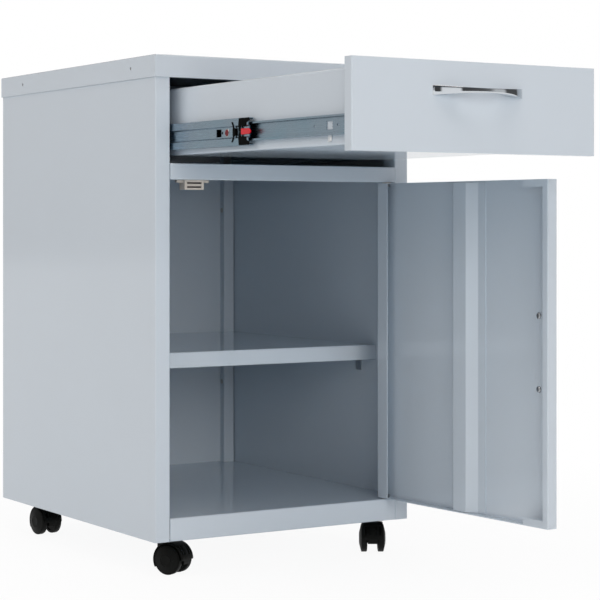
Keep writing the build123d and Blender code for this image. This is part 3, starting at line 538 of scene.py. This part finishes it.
def slide_rivet(hand, side):
    """Rivet with its washer on the outer face of a slide's middle member."""
    across, along, up = RIVET_PLACE
    seat = seat_at(Vector((side * across, along, up)) * MM, (side, 0, 0))
    washer = bmesh.new()
    turn_profile(washer, WASHER_PROFILE, seat, sides=40)
    piece_from(f"rivet_washer_{hand}", washer, screw_zinc, f"slide_middle_{hand}")
    rivet = bmesh.new()
    turn_profile(rivet, RIVET_PROFILE, seat, sides=40)
    piece_from(f"rivet_head_{hand}", rivet, rivet_copper, f"slide_middle_{hand}")


def lock_tab(hand, side):
    """Tab bent from bright strip, with its lower lip turned out, that locks the slide to the drawer."""
    across, along, up = TAB_PLACE
    lip_across, lip_up = TAB_LIP_PLACE
    tab = bmesh.new()
    face = [tab.verts.new(Vector((side * across, along + shift, up + drop)) * MM)
            for shift, drop in TAB_OUTLINE]
    lip = [tab.verts.new(Vector((side * lip_across, along + shift, lip_up)) * MM)
           for shift in (TAB_LIP_HALF_WIDTH, -TAB_LIP_HALF_WIDTH)]
    tab.faces.new(face)
    tab.faces.new((face[3], face[4], lip[1], lip[0]))
    bmesh.ops.recalc_face_normals(tab, faces=tab.faces)
    bent = piece_from(f"lock_tab_{hand}", tab, bright_zinc, "drawer")
    thicken(bent, TAB_GAUGE, offset=0)
    round_edges(bent, radius=0.2, segments=2)


for hand, side in HANDS.items():
    slide_rivet(hand, side)
    lock_tab(hand, side)


# CAD nodes whose edges are rounded, in millimetres: the bow handles' polished edges, the tray's folds, and
# the moulded edges of the catch and of the slides' black and red parts. A CAD mesh comes split at its sharp
# edges, so its faces are joined first.
EDGE_RADII = {"drawer_handle": 0.5, "door_handle": 0.5, "magnetic_catch": 0.5, "drawer_tray": 0.5}
EDGE_RADII.update({f"slide_{part}_{hand}": 0.3 for part in ("stop", "latch") for hand in HANDS})
EDGE_RADII.update({f"slide_buffer_{hand}": 1.2 for hand in HANDS})
for node_name, radius in EDGE_RADII.items():
    node = bpy.data.objects[node_name]
    joined = node.modifiers.new("joined_faces", "WELD")
    joined.merge_threshold = 0.01 * MM
    round_edges(node, radius, segments=3, sharper_than=40)


# Floor: a wide pale sheet, in metres, that the camera and bright surfaces see as white. Near the object a
# small share of it is lit paper, which takes the soft shadow. That fades out, so that the floor meets the
# white room unseen.
FLOOR_SIZE = 40
SHADOW_FULL, SHADOW_GONE = 0.35, 1.2
LEAST_WHITE = 0.93
floor_paper, floor_tree = blank_material("white_studio_paper")
floor_where = add_node(floor_tree, "ShaderNodeTexCoord").outputs["Object"]
# the paper's cloudiness, drawn at 20 mm
clouds = add_node(floor_tree, "ShaderNodeTexNoise", {"Vector": floor_where, "Scale": per_mm(20)})
paper_tone = add_node(floor_tree, "ShaderNodeMixRGB", {
    "Fac": clouds.outputs["Fac"], "Color1": linear("#DDE7EE"), "Color2": linear("#E3ECF2")})
paper = add_node(floor_tree, "ShaderNodeBsdfDiffuse", {"Color": paper_tone.outputs["Color"]})
white = add_node(floor_tree, "ShaderNodeEmission", {"Color": (1, 1, 1, 1), "Strength": 1.0})
floor_rays = add_node(floor_tree, "ShaderNodeLightPath")
seen_or_mirrored = add_node(floor_tree, "ShaderNodeMath", {
    0: floor_rays.outputs["Is Camera Ray"], 1: floor_rays.outputs["Is Glossy Ray"]}, operation="MAXIMUM")
seen_at_all = add_node(floor_tree, "ShaderNodeMath", {
    0: seen_or_mirrored.outputs["Value"], 1: floor_rays.outputs["Is Transmission Ray"]}, operation="MAXIMUM")
reach = add_node(floor_tree, "ShaderNodeVectorMath", {0: floor_where}, operation="LENGTH")
fade = add_node(floor_tree, "ShaderNodeMapRange", {
    "Value": reach.outputs["Value"], "From Min": SHADOW_FULL, "From Max": SHADOW_GONE,
    "To Min": LEAST_WHITE, "To Max": 1.0})
share = add_node(floor_tree, "ShaderNodeMath", {
    0: seen_at_all.outputs["Value"], 1: fade.outputs["Result"]}, operation="MULTIPLY")
blend = add_node(floor_tree, "ShaderNodeMixShader", {
    0: share.outputs["Value"], 1: paper.outputs["BSDF"], 2: white.outputs["Emission"]})
add_node(floor_tree, "ShaderNodeOutputMaterial", {"Surface": blend.outputs["Shader"]})

bpy.ops.mesh.primitive_grid_add(x_subdivisions=8, y_subdivisions=8, size=FLOOR_SIZE)
floor = bpy.context.object
floor.name = "studio_floor"
floor.data.materials.append(floor_paper)

# World: an even pale room with warm grey walls, pure white to the camera. Bright metal and paint mirror
# the studio's panels and dark gaps, set out by compass direction: 0 is straight in front.
world = bpy.data.worlds.new("pale_room")
bpy.context.scene.world = world
world.use_nodes = True
room_tree = world.node_tree
room_tree.nodes.clear()
toward = add_node(room_tree, "ShaderNodeTexCoord").outputs["Generated"]
split = add_node(room_tree, "ShaderNodeSeparateXYZ", {0: toward})
front = add_node(room_tree, "ShaderNodeMath", {0: split.outputs["Y"], 1: -1.0}, operation="MULTIPLY")
compass = add_node(room_tree, "ShaderNodeMath", {0: split.outputs["X"], 1: front.outputs["Value"]},
                   operation="ARCTAN2")
turned_by = add_node(room_tree, "ShaderNodeMapRange", {
    "Value": compass.outputs["Value"], "From Min": -math.pi, "From Max": math.pi})
studio = add_node(room_tree, "ShaderNodeValToRGB", {"Fac": turned_by.outputs["Result"]})
# direction in degrees and brightness of what stands there
STUDIO = ((-180, 0.62), (-100, 0.62), (-62, 0.5), (-48, 0.07), (-37, 0.07), (-34, 1.0), (-9, 1.0), (-6, 0.07),
          (24, 0.12), (36, 0.2), (46, 0.66), (62, 0.66), (68, 0.1), (134, 0.08), (144, 0.5), (180, 0.62))
stops = studio.color_ramp.elements
while len(stops) < len(STUDIO):
    stops.new(0.5)
for stop, (degrees, brightness) in zip(stops, STUDIO):
    stop.position = (degrees + 180) / 360
    stop.color = (brightness, brightness, brightness, 1)
# above the panels comes a dark gap, and overhead one pale ceiling
above_panels = add_node(room_tree, "ShaderNodeMapRange", {
    "Value": split.outputs["Z"], "From Min": 0.2, "From Max": 0.3})
overhead = add_node(room_tree, "ShaderNodeMapRange", {
    "Value": split.outputs["Z"], "From Min": 0.6, "From Max": 0.75})
upper = add_node(room_tree, "ShaderNodeMixRGB", {
    "Fac": overhead.outputs["Result"], "Color1": linear("#4A4E54"), "Color2": linear("#E4E6E8")})
mirrored = add_node(room_tree, "ShaderNodeMixRGB", {
    "Fac": above_panels.outputs["Result"], "Color1": studio.outputs["Color"],
    "Color2": upper.outputs["Color"]})
room_rays = add_node(room_tree, "ShaderNodeLightPath")
lit = add_node(room_tree, "ShaderNodeMixRGB", {
    "Fac": room_rays.outputs["Is Glossy Ray"], "Color1": linear("#A2948E"),
    "Color2": mirrored.outputs["Color"]})
seen = add_node(room_tree, "ShaderNodeMath", {
    0: room_rays.outputs["Is Camera Ray"], 1: room_rays.outputs["Is Transmission Ray"]}, operation="MAXIMUM")
room_tone = add_node(room_tree, "ShaderNodeMixRGB", {
    "Fac": seen.outputs["Value"], "Color1": lit.outputs["Color"], "Color2": (1, 1, 1, 1)})
room = add_node(room_tree, "ShaderNodeBackground", {"Color": room_tone.outputs["Color"], "Strength": 1.0})
add_node(room_tree, "ShaderNodeOutputWorld", {"Surface": room.outputs["Background"]})


def softbox(name, place, target, size, power, hex_colour, mirrored=True):
    """A large square lamp turned to its target. One not mirrored leaves bright metal the room's panels."""
    lamp = bpy.data.lights.new(name, "AREA")
    lamp.size = size
    lamp.energy = power
    lamp.color = linear(hex_colour)[:3]
    stand = bpy.data.objects.new(name, lamp)
    bpy.context.collection.objects.link(stand)
    away = [t - p for t, p in zip(target, place)]
    level = math.hypot(away[0], away[1])
    stand.location = place
    stand.visible_glossy = mirrored
    stand.rotation_euler = (math.pi / 2 + math.atan2(away[2], level), 0, math.atan2(-away[0], away[1]))


# Lamps: places and sizes in metres, power in watts
softbox("left_softbox", (-3.0, 0.6, 2.3), (0, -0.1, 0.4), 2.0, 44, "#FFF3EA")
softbox("front_softbox", (-1.0, -3.6, 1.3), (0, -0.2, 0.4), 1.8, 34, "#FFF6EF", mirrored=False)
softbox("middle_softbox", (0.0, -3.7, 0.9), (0, -0.2, 0.3), 1.4, 18, "#FFF3ED", mirrored=False)
softbox("top_softbox", (-0.3, -1.2, 2.8), (0, -0.4, 0.4), 1.6, 28, "#FFEFE4")
softbox("right_softbox", (3.2, 1.0, 1.8), (0, 0, 0.4), 1.6, 30, "#FFFBF9", mirrored=False)
softbox("back_softbox", (0.5, 3.4, 1.8), (0, 0, 0.4), 1.6, 30, "#FFFBF9", mirrored=False)

# Camera at the photograph's viewing angle, level, with the picture shifted down to frame the cabinet
CAMERA_PLACE = (-1.40105, -2.53136, 0.47453)
CAMERA_HEADING = -32.01
lens = bpy.data.cameras.new("main_camera")
lens.sensor_width = 36.0
lens.lens = 115.52
lens.shift_y = -0.128
camera = bpy.data.objects.new("main_camera", lens)
bpy.context.collection.objects.link(camera)
camera.location = CAMERA_PLACE
camera.rotation_euler = (math.radians(90), 0, math.radians(CAMERA_HEADING))
bpy.context.scene.camera = camera

bpy.context.scene.view_settings.view_transform = "Standard"
